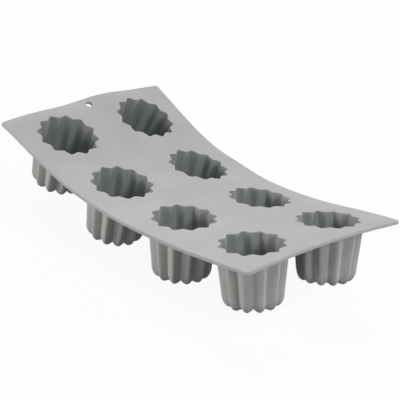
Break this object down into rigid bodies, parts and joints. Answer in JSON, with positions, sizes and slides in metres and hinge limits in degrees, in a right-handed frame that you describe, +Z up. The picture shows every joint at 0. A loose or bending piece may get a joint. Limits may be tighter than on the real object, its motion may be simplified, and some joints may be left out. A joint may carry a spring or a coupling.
{
  "type": "canele mould",
  "caption": "Flexible silicone baking mould: a sheet with fluted canele cups that taper to rounded feet, with a hanging hole at one end.",
  "frame": {"origin": "middle of the bounding box's bottom face, on the surface that the cups stand on", "axes": "+X along the sheet from the end with the hanging hole to the plain end, +Y across the sheet, +Z up out of the cups' mouths"},
  "size_m": [0.2984, 0.175, 0.082],
  "materials": {
    "sheet_silicone": "matte",
    "web_silicone": "matte",
    "cup_silicone": "matte",
    "floor_silicone": "matte"
  },
  "bodies": {
    "row_2": {"deck_row_2": "sheet_silicone", "cup_wall_2a": "cup_silicone", "cup_wall_2b": "cup_silicone", "flex_web_1_2": "web_silicone", "flex_web_2_3": "web_silicone"},
    "row_1": {"deck_row_1": "sheet_silicone", "cup_wall_1a": "cup_silicone", "cup_wall_1b": "cup_silicone"},
    "row_3": {"deck_row_3": "sheet_silicone", "cup_wall_3a": "cup_silicone", "cup_wall_3b": "cup_silicone", "flex_web_3_4": "web_silicone"},
    "row_4": {"deck_row_4": "sheet_silicone", "cup_wall_4a": "cup_silicone", "cup_wall_4b": "cup_silicone"},
    "floor_1a": {"cup_floor_1a": "floor_silicone"},
    "floor_1b": {"cup_floor_1b": "floor_silicone"},
    "floor_2a": {"cup_floor_2a": "floor_silicone"},
    "floor_2b": {"cup_floor_2b": "floor_silicone"},
    "floor_3a": {"cup_floor_3a": "floor_silicone"},
    "floor_3b": {"cup_floor_3b": "floor_silicone"},
    "floor_4a": {"cup_floor_4a": "floor_silicone"},
    "floor_4b": {"cup_floor_4b": "floor_silicone"}
  },
  "joints": [
    {"name": "fold_1_2", "type": "hinge", "parent": "row_2", "child": "row_1", "pos_m": [-0.07565, 0.00003, 0.05584], "axis": [0, 1, 0], "range_deg": [-37.6, 47.4], "stiffness_Nm_per_rad": 2, "deforming": ["flex_web_1_2"]},
    {"name": "fold_2_3", "type": "hinge", "parent": "row_2", "child": "row_3", "pos_m": [-0.00051, -0.00001, 0.04833], "axis": [0, -1, 0], "range_deg": [-36, 49], "stiffness_Nm_per_rad": 2, "deforming": ["flex_web_2_3"]},
    {"name": "fold_3_4", "type": "hinge", "parent": "row_3", "child": "row_4", "pos_m": [0.07452, 0.00002, 0.05528], "axis": [0, -1, 0], "range_deg": [-30.2, 54.8], "stiffness_Nm_per_rad": 2, "deforming": ["flex_web_3_4"]},
    {"name": "push_floor_1a", "type": "slide", "parent": "row_1", "child": "floor_1a", "axis": [0.2117, -0.0781, 0.9742], "range_m": [0, 0.01], "stiffness_N_per_m": 400},
    {"name": "push_floor_1b", "type": "slide", "parent": "row_1", "child": "floor_1b", "axis": [0.3408, 0.0123, 0.94], "range_m": [0, 0.01], "stiffness_N_per_m": 400},
    {"name": "push_floor_2a", "type": "slide", "parent": "row_2", "child": "floor_2a", "axis": [0.0878, -0.0454, 0.9951], "range_m": [0, 0.01], "stiffness_N_per_m": 400},
    {"name": "push_floor_2b", "type": "slide", "parent": "row_2", "child": "floor_2b", "axis": [0.1037, 0.0454, 0.9936], "range_m": [0, 0.01], "stiffness_N_per_m": 400},
    {"name": "push_floor_3a", "type": "slide", "parent": "row_3", "child": "floor_3a", "axis": [-0.0893, -0.0454, 0.995], "range_m": [0, 0.01], "stiffness_N_per_m": 400},
    {"name": "push_floor_3b", "type": "slide", "parent": "row_3", "child": "floor_3b", "axis": [-0.1022, 0.0454, 0.9937], "range_m": [0, 0.01], "stiffness_N_per_m": 400},
    {"name": "push_floor_4a", "type": "slide", "parent": "row_4", "child": "floor_4a", "axis": [-0.1737, -0.0625, 0.9828], "range_m": [0, 0.01], "stiffness_N_per_m": 400},
    {"name": "push_floor_4b", "type": "slide", "parent": "row_4", "child": "floor_4b", "axis": [-0.1972, 0.0283, 0.98], "range_m": [0, 0.01], "stiffness_N_per_m": 400}
  ]
}
